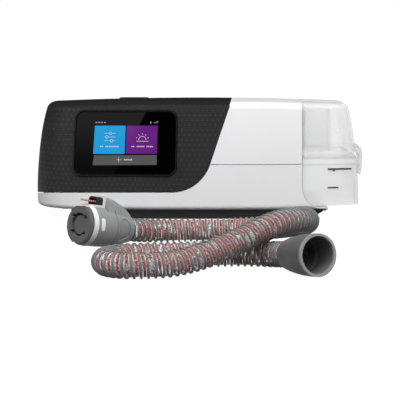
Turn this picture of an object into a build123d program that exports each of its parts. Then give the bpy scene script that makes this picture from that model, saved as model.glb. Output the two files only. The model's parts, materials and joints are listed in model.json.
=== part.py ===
from build123d import *
import math
import os

os.makedirs("parts", exist_ok=True)

# Bedside positive-airway-pressure machine with a slide-out water tub and a
# loose heated hose.  Millimetres.  X to the right, Y to the back, Z up.
# The origin is on the table, under the middle of the machine.

# ---------------------------------------------------------------- dimensions
WALL = 2.4            # casing wall
FLOOR_Z = 8.2         # underside of the casing, top of the black foot
END_X = 77.0          # right end wall of the casing
LIP_X = 97.3          # end of the ledge that carries the water tub
CROWN_Z = 90.4        # highest point of the top
CROWN_RX = 2613.0     # crown radius across the machine
CROWN_RY = 760.0      # crown radius front to back
BOW_R = 750.0         # bow of the front and back faces
SIDE_R = 300.0        # bow of the left side
TOP_FILLET = 6.5
BOTTOM_FILLET = 3.5
REVEAL = 0.25         # half of the gap between two casing pieces
PART_Z = 42.6         # level of the joint between upper and lower casing

TUB_X0 = 77.6         # face of the tub next to the machine
TUB_FLOOR = 10.8
TUB_TOP = 46.0
LID_Z = 47.6
BAY_HALF = 58.4       # half width of the bay that the tub slides into
BAY_TOP = 46.0

HOSE_R = 8.0          # hose outside radius
HOSE_RI = 6.6
CUFF_BORE_R = 11.0    # 22 mm breathing-hose fitting
OUTLET_R = 11.0
CONN_R = 13.5

# left extreme and half depth of the casing, by height
SEC = [(0, 127.95, 68.9), (16, 128.0, 69.25), (36, 127.4, 68.4), (54, 125.7, 66.8),
       (71, 123.0, 64.3), (83, 120.0, 62.0), (98, 115.6, 58.5)]


def half_depth(z):
    for (z0, _, a), (z1, _, b) in zip(SEC, SEC[1:]):
        if z <= z1:
            return a + (b - a) * (z - z0) / (z1 - z0)
    return SEC[-1][2]


def box(x0, x1, y0, y1, z0, z1):
    return Pos((x0 + x1) / 2, (y0 + y1) / 2, (z0 + z1) / 2) * Box(x1 - x0, y1 - y0, z1 - z0)


def cyl_z(x, y, z0, z1, r):
    return Pos(x, y, (z0 + z1) / 2) * Cylinder(r, z1 - z0)


def cyl_x(x0, x1, y, z, r):
    return Pos((x0 + x1) / 2, y, z) * Rot(0, 90, 0) * Cylinder(r, x1 - x0)


def cyl_y(x, y0, y1, z, r):
    return Pos(x, (y0 + y1) / 2, z) * Rot(90, 0, 0) * Cylinder(r, y1 - y0)


# ------------------------------------------------------------- casing surface
def section(z, xl, yh, rc, i, xe):
    """Closed outline of the casing at one height, drawn in by i."""
    xl -= i
    yh -= i
    rc -= i
    rf, rs = BOW_R - i, SIDE_R - i
    cfx, cfy = 0.0, -yh + rf
    csx, csy = -xl + rs, 0.0
    r1, r2 = rf - rc, rs - rc
    dx, dy = csx - cfx, csy - cfy
    d = math.hypot(dx, dy)
    a = (r1 * r1 - r2 * r2 + d * d) / (2 * d)
    h = math.sqrt(r1 * r1 - a * a)
    mx, my = cfx + a * dx / d, cfy + a * dy / d
    c = min(((mx + h * dy / d, my - h * dx / d), (mx - h * dy / d, my + h * dx / d)),
            key=lambda p: p[0] + p[1])
    u1 = ((c[0] - cfx) / r1, (c[1] - cfy) / r1)
    t1 = (cfx + u1[0] * rf, cfy + u1[1] * rf)
    u2 = ((c[0] - csx) / r2, (c[1] - csy) / r2)
    t2 = (csx + u2[0] * rs, csy + u2[1] * rs)
    um = (u1[0] + u2[0], u1[1] + u2[1])
    n = math.hypot(*um)
    tm = (c[0] + um[0] / n * rc, c[1] + um[1] / n * rc)
    ye = -yh + rf - math.sqrt(rf * rf - xe * xe)
    xm = (xe + t1[0]) / 2
    ym = -yh + rf - math.sqrt(rf * rf - xm * xm)

    def v(p, s=1):
        return (p[0], s * p[1], z)

    return Wire([ThreePointArc(v((xe, ye)), v((xm, ym)), v(t1)),
                 ThreePointArc(v(t1), v(tm), v(t2)),
                 ThreePointArc(v(t2), (-xl, 0, z), v(t2, -1)),
                 ThreePointArc(v(t2, -1), v(tm, -1), v(t1, -1)),
                 ThreePointArc(v(t1, -1), v((xm, ym), -1), v((xe, ye), -1)),
                 Line(v((xe, ye), -1), v((xe, ye)))])


def hull(i, xe):
    return Solid.make_loft([section(z, xl, yh, 40.0 - 0.05 * z, i, xe) for z, xl, yh in SEC])


def crown(i):
    """Block whose top is curved both ways."""
    z0 = CROWN_Z - i

    def zt(y):
        return z0 - (y + 15) ** 2 / (2 * CROWN_RY)

    f = make_face([Line((0, -90, -20), (0, -90, zt(-90))),
                   ThreePointArc((0, -90, zt(-90)), (0, 0, zt(0)), (0, 90, zt(90))),
                   Line((0, 90, zt(90)), (0, 90, -20)), Line((0, 90, -20), (0, -90, -20))])
    ax = Axis((0, 0, z0 - CROWN_RX), (0, 1, 0))
    return revolve(f, ax, 7.4).rotate(ax, -3.7)


def crown_z(x, y, i=0.0):
    return CROWN_Z - i - (y + 15) ** 2 / (2 * CROWN_RY) - x * x / (2 * CROWN_RX)


def casing_solid(i, xe, z0, top_r, bottom_r=0.0):
    s = hull(i, xe) & crown(i)
    s = s & box(-150, xe, -90, 90, z0, 120)
    s = fillet([e for e in s.edges() if e.center().Z > 84 and e.center().X < xe - 1 and e.length > 3], top_r)
    if bottom_r:
        s = fillet([e for e in s.edges() if e.center().Z < z0 + 0.2 and e.center().X < xe - 1], bottom_r)
    return s


def xz_prism(edges, y0=-80.0, y1=80.0, slope=0.0):
    """Face drawn in XZ at y0, pushed back to y1, falling by slope mm per mm."""
    f = make_face(edges)
    d = y1 - y0
    return extrude(f, amount=d * math.hypot(1, slope), dir=(0, 1 / math.hypot(1, slope), -slope / math.hypot(1, slope)))


def rounded_xz(x0, x1, z0, z1, r, y0, y1):
    sk = Plane.XZ * Pos((x0 + x1) / 2, (z0 + z1) / 2) * RectangleRounded(x1 - x0, z1 - z0, r)
    s = extrude(sk, amount=(y1 - y0) / 2, both=True)
    return Pos(0, (y0 + y1) / 2, 0) * s


outer = casing_solid(0, LIP_X, FLOOR_Z, TOP_FILLET, BOTTOM_FILLET)
inner = casing_solid(WALL, 90.0, FLOOR_Z + WALL, TOP_FILLET - WALL) & box(-150, END_X - WALL, -90, 90, 0, 120)
inner_mid = casing_solid(1.2, 90.0, FLOOR_Z + 1.2, TOP_FILLET - 1.2)

# the right end: a wall that sweeps down into the ledge under the tub
SWEEP_R = 15.5
LIP_Z = 8.9
sweep_cut = xz_prism([
    Line((END_X, -80, 120), (END_X, -80, LIP_Z + SWEEP_R)),
    ThreePointArc((END_X, -80, LIP_Z + SWEEP_R),
                  (END_X + SWEEP_R * (1 - math.cos(math.pi / 4)), -80, LIP_Z + SWEEP_R * (1 - math.sin(math.pi / 4))),
                  (END_X + SWEEP_R, -80, LIP_Z)),
    Line((END_X + SWEEP_R, -80, LIP_Z), (130, -80, LIP_Z)),
    Line((130, -80, LIP_Z), (130, -80, 120)),
    Line((130, -80, 120), (END_X, -80, 120))])
shell = outer - sweep_cut - inner
LIP_R = 6.0
for s in (-1, 1):
    corner = box(LIP_X - LIP_R, LIP_X + 2, min(s * 56.9, s * 80), max(s * 56.9, s * 80), 0, 30) \
        - cyl_z(LIP_X - LIP_R, s * 56.9, -1, 31, LIP_R)
    shell = shell - corner
# toe of the ledge, wrapping the end of the foot
toe = extrude(Pos(LIP_X - 10, 0) * RectangleRounded(20, 120, 5), amount=2.2)
toe = Pos(0, 0, 6.4) * toe & box(94.7, LIP_X, -60, 60, 6, 9)
toe = chamfer([e for e in toe.edges() if e.center().Z < 6.45 and e.center().X > 94.8], 1.2)
shell = shell + toe

# mouth of the tub bay, through the end wall
shell = shell - box(END_X - 8, LIP_X + 2, -BAY_HALF, BAY_HALF, FLOOR_Z + WALL, BAY_TOP)
# shallow deck of the ledge level with the bay floor
shell = shell - box(END_X - 4, LIP_X + 5, -70, 70, FLOOR_Z + WALL, 10.9)

# round air ports in the end wall
PORT_Z = 66.0
PORT_Y = 22.0
PORT_R = 7.2
for s in (-1, 1):
    shell = shell - cyl_x(END_X - 6, END_X + 1, s * PORT_Y, PORT_Z, 9.6)

# ------------------------------------------------------- casing split lines
L1_SLOPE = 0.337
L1_X0, L1_Z0 = 14.3, 63.3
LOW_Z = 21.6
ARC_R = 30.0
COVER_FALL = 0.105    # the cover's lower edge drops towards the back
COVER_MIN_Z = 12.8


def cover_prism(d):
    """Region taken by the dotted front cover, grown by d."""
    ux, uz = L1_SLOPE / math.hypot(1, L1_SLOPE), 1 / math.hypot(1, L1_SLOPE)
    xi = L1_X0 + L1_SLOPE * (LOW_Z - L1_Z0)
    turn = math.acos(ux)
    t = ARC_R * math.tan(turn / 2)
    cx, cz = xi - t, LOW_Z + ARC_R
    r = ARC_R + d
    t1 = (xi + t * ux + d * uz, LOW_Z + t * uz - d * ux)
    t2 = (cx, LOW_Z - d)
    a2 = -math.pi / 2
    a1 = math.atan2(t1[1] - cz, t1[0] - cx)
    am = (a1 + a2) / 2
    tm = (cx + r * math.cos(am), cz + r * math.sin(am))
    top = (t1[0] + ux / uz * (110 - t1[1]), 110.0)
    lift = COVER_FALL * 13.0
    y = -80.0

    def p(q):
        return (q[0], y, q[1] + lift)

    s = xz_prism([Line(p(top), p(t1)), ThreePointArc(p(t1), p(tm), p(t2)),
                  Line(p(t2), p((-150, LOW_Z - d))), Line(p((-150, LOW_Z - d)), p((-150, 110))),
                  Line(p((-150, 110)), p(top))], slope=COVER_FALL)
    return s & box(-150, 60, -90, 90, COVER_MIN_Z - d, 105)


PANEL = (-88.0, 66.0, 13.0, 81.5)
rear_panel = shell & rounded_xz(PANEL[0] + .2, PANEL[1] - .2, PANEL[2] + .2, PANEL[3] - .2, 5, 30, 90)
rest = shell - rounded_xz(PANEL[0] - .2, PANEL[1] + .2, PANEL[2] - .2, PANEL[3] + .2, 5.4, 30, 90)
fascia_cover = rest & cover_prism(-REVEAL)
rest2 = rest - cover_prism(REVEAL)
upper_casing = rest2 & box(-20, 120, -90, 90, PART_Z + REVEAL, 120)
lower_casing = rest2 & box(-150, 120, -90, 90, 0, PART_Z - REVEAL)

# ------------------------------------------------------------------- display
DISP_P = Vector(-55.948, -63.468, 58.405)
DISP_N = Vector(-0.0738, -0.988, 0.1354).normalized()
DISP_U = Vector(0.9972, -0.0745, 0.0).normalized()
disp = Plane(origin=DISP_P, x_dir=DISP_U, z_dir=DISP_N)
LENS = [(-37.2, 23.8), (37.9, 23.9), (37.4, -23.5), (-39.2, -23.8)]


def lens_face(grow, r):
    sk = make_face(Polyline(*LENS, close=True))
    sk = fillet(sk.vertices(), r)
    return offset(sk, amount=grow) if grow else sk


def disp_slab(grow, r, d0, d1):
    """Lens-shaped slab from depth d0 to d1 along the display's normal."""
    f = disp * Pos(0, 0, d0) * lens_face(grow, r)
    return extrude(f, amount=d1 - d0, dir=tuple(DISP_N))


screen_lens = disp_slab(0, 6.0, -1.6, 0.0)
screen_lens = fillet([e for e in screen_lens.edges() if abs((e.center() - DISP_P).dot(DISP_N)) < 0.01], 0.5)
display_bezel = disp_slab(1.2, 6.0, -5.0, 0.35) - disp_slab(0.12, 6.0, -1.65, 1.0) - disp_slab(-2.0, 6.0, -6.0, 1.0)
lcd_panel = disp * Pos(-0.3, -1.0, -2.9) * Box(56, 40.4, 2.4)
display_carrier = disp_slab(1.2, 6.0, -6.6, -5.05)
for u, v in ((-28, 0), (28, 0)):
    display_carrier = display_carrier - disp * Pos(u, v, -6) * Box(8, 22, 6)
fascia_cover = fascia_cover - disp_slab(1.45, 6.0, -8.0, 8.0)

# ------------------------------------------------------- start / stop button
BTN = (-52.0, -6.0)
BTN_L, BTN_W = 23.0, 9.0


def pill(x, y, l, w, z0, z1):
    sk = Pos(x, y, z0) * SlotOverall(l, w)
    return extrude(sk, amount=z1 - z0)


btn_z = crown_z(BTN[0], BTN[1])
fascia_cover = fascia_cover - pill(BTN[0], BTN[1], BTN_L + 0.5, BTN_W + 0.5, 80, 95)
start_button = pill(BTN[0], BTN[1], BTN_L, BTN_W, btn_z - 3.4, btn_z + 0.9)
start_button = fillet(start_button.faces().sort_by(Axis.Z)[-1].edges(), 0.7)
start_button = start_button + pill(BTN[0], BTN[1], BTN_L + 3, BTN_W + 3, btn_z - 4.6, btn_z - 3.4) \
    + cyl_z(BTN[0], BTN[1], 78.6, btn_z - 4, 2.6)
BTN_BOARD_Z = 72.0
button_switch = box(BTN[0] - 19.5, BTN[0] + 19.5, BTN[1] - 8, BTN[1] + 8, BTN_BOARD_Z, BTN_BOARD_Z + 1.5) \
    + box(BTN[0] - 3, BTN[0] + 3, BTN[1] - 3, BTN[1] + 3, BTN_BOARD_Z + 1.5, 76.2) \
    + cyl_z(BTN[0], BTN[1], 76.0, 77.5, 1.7)
for dx in (-16.5, 16.5):
    fascia_cover = fascia_cover + cyl_z(BTN[0] + dx, BTN[1], BTN_BOARD_Z + 1.5, crown_z(BTN[0] + dx, BTN[1]) - 1.2, 2.4)

# -------------------------------------------------------------- memory card
SD_Y0, SD_Y1 = -27.0, 3.0
SD_Z0, SD_Z1 = 32.2, 44.0
SD_AX = (-125.1, 31.0)
fascia_cover = fascia_cover - box(-135, -121, SD_Y0 - .3, SD_Y1 + .3, 28.2, SD_Z1 + .3)
sd_cover = shell & box(-135, -121, SD_Y0, SD_Y1, SD_Z0, SD_Z1)
sd_cover = sd_cover + cyl_y(SD_AX[0], SD_Y0, SD_Y1, SD_AX[1], 0.8) \
    + box(SD_AX[0] - 0.6, SD_AX[0] + 0.9, SD_Y0, SD_Y1, SD_AX[1], SD_Z0 + 0.6)
sd_cover = sd_cover + cyl_y(SD_AX[0], SD_Y0 - 1.6, SD_Y1 + 1.6, SD_AX[1], 0.5)
fascia_cover = fascia_cover - cyl_y(SD_AX[0], SD_Y0 - 2.2, SD_Y1 + 2.2, SD_AX[1], 0.56)
sd_socket = box(-123, -90.2, -25.5, 1.5, 35, 40.6) - box(-124, -91.2, -24.2, 0.2, 36.6, 39.0)
for lx in (-120, -95):
    for ly in (-25.5, -1.5):
        sd_socket = sd_socket + box(lx, lx + 3, ly, ly + 3, FLOOR_Z + WALL, 35)
sd_card = box(-123.2, -92.3, -24.0, 0.0, 36.75, 38.85)
sd_card = chamfer([e for e in sd_card.edges() if abs(e.center().X + 92.3) < .1 and abs(e.center().Y) < .1], 3.5)

# -------------------------------------------------------------------- blower
BX, BY = -54.0, 6.0
B0, B1, B2 = 18.6, 38.0, 54.0
PIPE_Y, PIPE_Z = -22.0, 46.4
blower_mounts = None
for dx, dy in ((-23, -20), (23, -20), (-23, 20), (23, 20)):
    c = cyl_z(BX + dx, BY + dy, FLOOR_Z + WALL, B0, 5.0) - cyl_z(BX + dx, BY + dy, 13, 16, 3.0)
    blower_mounts = c if blower_mounts is None else blower_mounts + c
blower_housing_bottom = cyl_z(BX, BY, B0, B1, 36) - cyl_z(BX, BY, B0 + 2, B1 + 1, 34) \
    + (cyl_z(BX, BY, B0 + 1, 35.5, 6.0) - cyl_z(BX, BY, B0 + 2, 36, 4.0))
top_out = cyl_z(BX, BY, B1, B2, 36) + cyl_x(BX + 6, -17.0, PIPE_Y, PIPE_Z, 8.0)
top_in = cyl_z(BX, BY, B1 - 1, B2 - 2, 34) + cyl_x(BX + 6, -16.0, PIPE_Y, PIPE_Z, 6.4)
blower_housing_top = top_out - top_in - cyl_z(BX, BY, B2 - 3, B2 + 4, 14)
blower_housing_top = blower_housing_top + (cyl_z(BX, BY, B2, B2 + 3, 16) - cyl_z(BX, BY, B2 - 1, B2 + 4, 14))
motor_stator = cyl_z(BX, BY, B0 + 2, 32, 20) - cyl_z(BX, BY, B0 + 1, 33, 9.0)
for k in range(9):
    a = 2 * math.pi * k / 9
    motor_stator = motor_stator - cyl_z(BX + 14.5 * math.cos(a), BY + 14.5 * math.sin(a), B0 + 1, 33, 2.6)
motor_bearings = (cyl_z(BX, BY, 21.2, 24.2, 4.0) - cyl_z(BX, BY, 20, 25, 1.55)) \
    + (cyl_z(BX, BY, 32.2, 35.2, 4.0) - cyl_z(BX, BY, 32, 36, 1.55))
rotor_shaft = cyl_z(BX, BY, 21.0, 48.0, 1.5)
impeller = cyl_z(BX, BY, 36.4, 38.2, 28) + cyl_z(BX, BY, 36.4, 45.5, 5.0) \
    + (cyl_z(BX, BY, 26, 36.6, 8.4) - cyl_z(BX, BY, 25, 36.4, 6.7))
for k in range(9):
    a = 40.0 * k
    blade = Pos(BX, BY, 0) * Rot(0, 0, a) * Pos(17.0, 0, 41.8) * Rot(0, 0, 32) * Box(24, 1.2, 7.6)
    impeller = impeller + (blade & cyl_z(BX, BY, 30, 60, 28))
impeller = impeller - rotor_shaft

# ---------------------------------------------------------- filter and inlet
FD = (-82.0, -46.0, 27.2, 65.0)
F_AX = (65.0, 25.6)
rear_panel = rear_panel - rounded_xz(FD[0] - .35, FD[1] + .35, 22.2, FD[3] + .35, 2.0, 40, 90)
filter_cover = shell & rounded_xz(FD[0], FD[1], FD[2], FD[3], 2.0, 40, 90)
for x0, x1 in ((-77.2, -71.2), (-56.8, -50.8)):
    filter_cover = filter_cover - box(x0, x1, 40, 90, 20, 31.5)
filter_cover = filter_cover + cyl_x(-70.8, -57.2, F_AX[0], F_AX[1], 1.4) \
    + box(-70.8, -57.2, F_AX[0] - 1.2, F_AX[0] + 1.0, F_AX[1], FD[2] + 0.8)
filter_cover = filter_cover - cyl_x(-90, -40, F_AX[0], F_AX[1], 0.96)
for x0, x1 in ((-76.6, -71.6), (-56.4, -51.4)):
    rear_panel = rear_panel + cyl_x(x0, x1, F_AX[0], F_AX[1], 1.4) \
        + box(x0, x1, F_AX[0] - 1.4, F_AX[0] + 1.0, 20.5, F_AX[1])
rear_panel = rear_panel - cyl_x(-77, -51, F_AX[0], F_AX[1], 0.92)
filter_hinge_pin = cyl_x(-76.4, -51.6, F_AX[0], F_AX[1], 0.9)
inlet_housing = box(-86, -43, 46, 56, 23, 68) - box(-84, -45, 48, 57, 25, 66) - box(-78, -50, 45, 49, 30, 60)
air_filter = box(-83.8, -45.2, 49.5, 54.5, 25.2, 65.8)
muffler_foam = box(-114, -100, 9, 38, 22, 68)

# ---------------------------------------------------------------- air outlet
OX, OZ = 45.0, 64.0
CUP_Y0, CUP_Y1 = 49.0, 63.4
rear_panel = rear_panel - cyl_y(OX, 40, 80, OZ, 15.9)
air_outlet_port = (cyl_y(OX, CUP_Y0, CUP_Y1, OZ, 15.6) - cyl_y(OX, CUP_Y0 + 1.6, CUP_Y1 + 1, OZ, 14.2)) \
    + cyl_y(OX, 45.0, 65.6, OZ, OUTLET_R)
air_outlet_port = air_outlet_port - cyl_y(OX, 40, 70, OZ, 9.2)
hose_power_socket = box(14, 27, 50, 64.6, 60, 68) - box(15.2, 25.8, 54, 66, 61.3, 66.7)
rear_panel = rear_panel - box(13.8, 27.2, 50, 80, 59.8, 68.2)


def duct(pts, rad, r_out, r_in):
    path = FilletPolyline(*pts, radius=rad)
    pl = Plane(origin=path @ 0, z_dir=path % 0)
    return sweep(pl * Circle(r_out), path=path) - sweep(pl * Circle(r_in), path=path)


outlet_duct = duct([(-16.8, PIPE_Y, PIPE_Z), (4, PIPE_Y, PIPE_Z), (24, PIPE_Y, PORT_Z), (END_X - WALL - .1, PIPE_Y, PORT_Z)],
                   [12, 12], 8.0, 6.4)
return_duct = duct([(END_X - WALL - .1, PORT_Y, PORT_Z), (OX, PORT_Y, OZ + 2), (OX, 44.8, OZ)], [12], 8.4, 6.8)
dock_port_seals = None
for s in (-1, 1):
    c = cyl_x(END_X - WALL + .05, END_X + 0.3, s * PORT_Y, PORT_Z, 9.4) - cyl_x(END_X - 5, END_X + 2, s * PORT_Y, PORT_Z, PORT_R)
    dock_port_seals = c if dock_port_seals is None else dock_port_seals + c
flow_sensor = box(36, 52, PIPE_Y - 6, PIPE_Y + 6, PORT_Z + 5, PORT_Z + 15) - cyl_x(30, 60, PIPE_Y, PORT_Z, 8.05)

# --------------------------------------------------------------- electronics
board = box(-17, 21, -50, 44, 15, 16.6) + box(-38, -16.9, -54, -36, 15, 16.6)
POSTS = [(-13, -46), (17, -46), (-13, 40), (17, 40)]
main_board = board
board_screws = None
for x, y in POSTS:
    main_board = main_board - cyl_z(x, y, 14, 18, 1.5)
    lower_casing = lower_casing + (cyl_z(x, y, FLOOR_Z + 1.5, 15, 3.0) - cyl_z(x, y, 11.4, 16, 1.3))
    c = cyl_z(x, y, 12, 16.6, 1.2) + cyl_z(x, y, 16.6, 18.0, 2.4)
    board_screws = c if board_screws is None else board_screws + c
board_components = box(-8, 6, -30, -16, 16.6, 18.2)
for b in (box(8, 18, -34, -24, 16.6, 17.8), box(-12, -2, -6, 8, 16.6, 18.0), cyl_z(10, -6, 16.6, 30, 5.0),
          cyl_z(10, 8, 16.6, 30, 5.0), box(-12, -1, 23, 34, 16.6, 27), box(4, 14, -46, -38, 16.6, 20),
          box(-35, -21, -44, -38, 16.6, 20.6)):
    board_components = board_components + b
wireless_module = box(1, 19, 18, 36, 16.6, 19.4)
power_socket = box(-33, -15, 48, 67.6, 24, 36) - box(-31, -17, 56, 70, 26, 34)
rear_panel = rear_panel - box(-33.25, -14.75, 40, 80, 23.75, 36.25)
power_pins = cyl_y(-28, 54, 61, 30, 0.9) + cyl_y(-24, 54, 61, 30, 0.9) + cyl_y(-20, 54, 61, 30, 0.9)
power_socket = power_socket - power_pins
rib = [(-55.9, 44.0), (-53.0, 40.0), (-53.0, 22.0), (-49.0, 17.6), (-45.2, 17.6)]


def strip(pts, x0, x1, t):
    s = None
    for (ya, za), (yb, zb) in zip(pts, pts[1:]):
        l = math.hypot(yb - ya, zb - za)
        ang = math.degrees(math.atan2(zb - za, yb - ya))
        b = Pos((x0 + x1) / 2, (ya + yb) / 2, (za + zb) / 2) * Rot(ang, 0, 0) * Box(x1 - x0, l + t * 0.9, t)
        s = b if s is None else s + b
    return s


ribbon_cable = strip(rib, -34, -23, 0.5)

# ------------------------------------------------------------- humidifier bay
humidifier_bay = box(24, END_X - WALL - .05, -60, 60, FLOOR_Z + WALL, BAY_TOP + 2) \
    - box(26, END_X, -BAY_HALF, BAY_HALF, FLOOR_Z, BAY_TOP)
lower_casing = lower_casing - box(33.8, 70.2, -30.2, 30.2, 9.0, 12)
heater_plate = box(34, 70, -30, 30, 9.0, 10.55)
heater_plate = fillet(heater_plate.edges().filter_by(Axis.Z), 6)

# ------------------------------------------------------- columns and screws
COLS = [(-104, -38), (-104, 48), (10, -56), (8, 55)]
casing_screws = None
for x, y in COLS:
    col = cyl_z(x, y, FLOOR_Z + WALL, 95, 3.5) & inner_mid
    fascia_cover = fascia_cover + (col - cyl_z(x, y, 0, 26, 1.55))
    lower_casing = lower_casing - cyl_z(x, y, 7, 12, 1.7)
    c = cyl_z(x, y, FLOOR_Z, 24, 1.5) + cyl_z(x, y, FLOOR_Z - 2.2, FLOOR_Z, 2.8)
    casing_screws = c if casing_screws is None else casing_screws + c
for x, y in ((34, -46), (66, -46), (68, 46)):
    col = cyl_z(x, y, BAY_TOP + 2, 95, 3.5) & inner_mid
    upper_casing = upper_casing + (col - cyl_z(x, y, 40, 62, 1.55))
    humidifier_bay = humidifier_bay - cyl_z(x, y, BAY_TOP - 1, BAY_TOP + 3, 1.6) - cyl_z(x, y, BAY_TOP - 1, BAY_TOP + 1, 2.9)
    c = cyl_z(x, y, BAY_TOP + 0.9, 60, 1.5) + cyl_z(x, y, BAY_TOP, BAY_TOP + 0.95, 2.7)
    casing_screws = casing_screws + c

# ----------------------------------------------------------------- foot, pads
FOOT_Z0 = 0.9


def foot_block(z, i, x0, x1, r, h):
    f = extrude(make_face(section(z, 127.95, 68.9, 40.0, i, x1)), amount=h, dir=(0, 0, 1))
    f = f & box(x0, x1 + 5, -100, 100, z - 1, z + h + 1)
    f = fillet([e for e in f.edges().filter_by(Axis.Z) if e.center().X < x0 + 1], r)
    return fillet([e for e in f.edges().filter_by(Axis.Z) if e.center().X > x1 - 1], r - 8)


def toe_wedge(lift):
    """What the rising right end of the foot leaves out."""
    return box(78, 110, -90, 90, -12, 0).rotate(Axis((94.5, 0, 0), (0, 1, 0)), -24.7).translate((0, 0, 6.4 + lift))


foot_out = foot_block(FOOT_Z0, 4.0, -99.0, 94.5, 16.0, FLOOR_Z - FOOT_Z0)
foot_out = chamfer([e for e in foot_out.edges() if e.center().Z < FOOT_Z0 + .1], 2.2)
base_foot = foot_out - toe_wedge(0) - (foot_block(FOOT_Z0 + 2.2, 6.8, -96.2, 91.7, 13.2, 20) - toe_wedge(2.4))
FEET = [(-83, -36), (-83, 36), (64, -40), (64, 40), (-16, 0)]
rubber_feet = None
for x, y in FEET:
    base_foot = base_foot - cyl_z(x, y, 0, 2.0, 8.1)
    base_foot = base_foot + cyl_z(x, y, 2.0, 3.4, 10)
    c = cyl_z(x, y, 0, 2.0, 8.0)
    c = chamfer(c.edges().group_by(Axis.Z)[0], 0.5)
    rubber_feet = c if rubber_feet is None else rubber_feet + c

# ------------------------------------------------------------------- the tub
TUB_SEC = [(10.8, 121.2), (28, 120.8), (46, 119.7), (60, 117.9), (75, 115.5), (96, 110.7)]


def tub_xr(z):
    for (z0, a), (z1, b) in zip(TUB_SEC, TUB_SEC[1:]):
        if z <= z1:
            return a + (b - a) * (z - z0) / (z1 - z0)
    return TUB_SEC[-1][1]


def tub_face(z, i, left=0.0, r=7.0):
    dy = 69.25 - half_depth(z)
    xr = tub_xr(z) - i
    yb, yc = 64.6 - dy - i, 54.6 - dy - i * 0.9
    sk = make_face(Polyline((TUB_X0 + left, -yb, z), (xr, -yc, z), (xr, yc, z), (TUB_X0 + left, yb, z), close=True))
    vs = sk.vertices().sort_by(Axis.X)
    sk = fillet(vs[2:], max(r - i, 1.0))
    return sk


def tub_loft(z_list, i, left=0.0, r=7.0):
    return loft([tub_face(z, i, left, r) for z in z_list])


INNER_X0 = 28.0
tub_out = tub_loft([TUB_FLOOR, 28, TUB_TOP], 0)
flange = tub_loft([42.2, TUB_TOP], -0.8)
wedge = xz_prism([Line((70, -80, 5), (TUB_X0 - .6 + SWEEP_R, -80, 5)),
                  Line((TUB_X0 - .6 + SWEEP_R, -80, 5), (TUB_X0 - .6 + SWEEP_R, -80, LIP_Z + .8)),
                  ThreePointArc((TUB_X0 - .6 + SWEEP_R, -80, LIP_Z + .8),
                                (TUB_X0 - .6 + SWEEP_R - 13.9 * math.sin(math.pi / 4), -80,
                                 LIP_Z + .8 + 13.9 * (1 - math.cos(math.pi / 4))),
                                (TUB_X0, -80, LIP_Z + .8 + 13.9)),
                  Line((TUB_X0, -80, LIP_Z + .8 + 13.9), (70, -80, LIP_Z + .8 + 13.9)),
                  Line((70, -80, LIP_Z + .8 + 13.9), (70, -80, 5))])
wedge_sides = (wedge & box(60, 110, -90, -58.1, 0, 60)) + (wedge & box(60, 110, 58.1, 90, 0, 60))
inner_basin = box(INNER_X0, 84, -57.8, 57.8, 11.0, 45.2)
inner_basin = fillet(inner_basin.edges().filter_by(Axis.Z).sort_by(Axis.X)[:2], 5)
H_Y, H_Z = 65.6, 47.0
base_knuckles = None
for x0, x1 in ((84, 88), (100, 104)):
    c = cyl_x(x0, x1, H_Y, H_Z, 2.3) + box(x0, x1, 54, H_Y + 1.6, 42.2, TUB_TOP)
    base_knuckles = c if base_knuckles is None else base_knuckles + c
cav_out = tub_loft([12.8, 28, TUB_TOP + 3], 2.0, left=2.0)
cav_in = box(INNER_X0 + 2, 86, -55.8, 55.8, 12.8, 43.2)
cav_in = fillet(cav_in.edges().filter_by(Axis.Z).sort_by(Axis.X)[:2], 3)
swell_cut = (xz_prism([Line((60, -80, 5), (94, -80, 5)), Line((94, -80, 5), (94, -80, LIP_Z + 2.8)),
                       ThreePointArc((94, -80, LIP_Z + 2.8), (84.4, -80, 16.2), (79.6, -80, 26.5)),
                       Line((79.6, -80, 26.5), (60, -80, 26.5)), Line((60, -80, 26.5), (60, -80, 5))]))
cav_out = cav_out - (swell_cut & box(50, 110, -90, -56.0, 0, 60)) - (swell_cut & box(50, 110, 56.0, 90, 0, 60))
tub_base = ((tub_out + flange) - wedge_sides) + inner_basin + base_knuckles
tub_base = tub_base - cav_out - cav_in - cyl_x(80, 108, H_Y, H_Z, 1.25)
TUB_PLATE = (32.0, 72.0, 34.0)
tub_base = tub_base - box(TUB_PLATE[0] - .1, TUB_PLATE[1] + .1, -TUB_PLATE[2] - .1, TUB_PLATE[2] + .1, 10, 13)
tub_heat_plate = box(TUB_PLATE[0], TUB_PLATE[1], -TUB_PLATE[2], TUB_PLATE[2], 11.05, 12.8)
tub_seal = tub_loft([TUB_TOP, LID_Z - .15], 0.2, left=.2) - tub_loft([TUB_TOP - 1, LID_Z + 1], 2.0, left=2.0)

lid_out = tub_loft([LID_Z, 60, 75, 96], 0) & crown(0)
lid_out = fillet([e for e in lid_out.edges() if e.center().Z > 82 and e.center().X > TUB_X0 + 2 and e.length > 2], 5.6)
lid_in = tub_loft([LID_Z - 1, 60, 75, 96], 1.8, left=1.8) & crown(1.8)
lid_in = fillet([e for e in lid_in.edges() if e.center().Z > 80 and e.center().X > TUB_X0 + 3 and e.length > 2], 3.8)
lid_flange = tub_loft([LID_Z, 50.6], -0.8)
lid_knuckle = cyl_x(88.3, 99.7, H_Y, H_Z, 2.3) + box(88.3, 99.7, 54, H_Y, LID_Z, 50.2)
tub_lid = lid_out + lid_flange + lid_knuckle
LX, LZ = 125.2, 50.4
for s in (-1, 1):
    y0, y1 = sorted((s * 11.3, s * 13.6))
    lug = cyl_y(LX, y0, y1, LZ, 2.2) + box(116.5, LX, y0, y1, LZ - 2.2, LZ + 2.2)
    tub_lid = tub_lid + (lug & box(110, 140, -20, 20, LID_Z, 60))
tub_lid = tub_lid - lid_in
lid_pin = cyl_y(LX, -11.4, 11.4, LZ, 0.9)
tub_lid = tub_lid + lid_pin
for s in (-1, 1):
    tub_lid = tub_lid - cyl_x(TUB_X0 - 1, TUB_X0 + 3, s * PORT_Y, PORT_Z, PORT_R)
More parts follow.
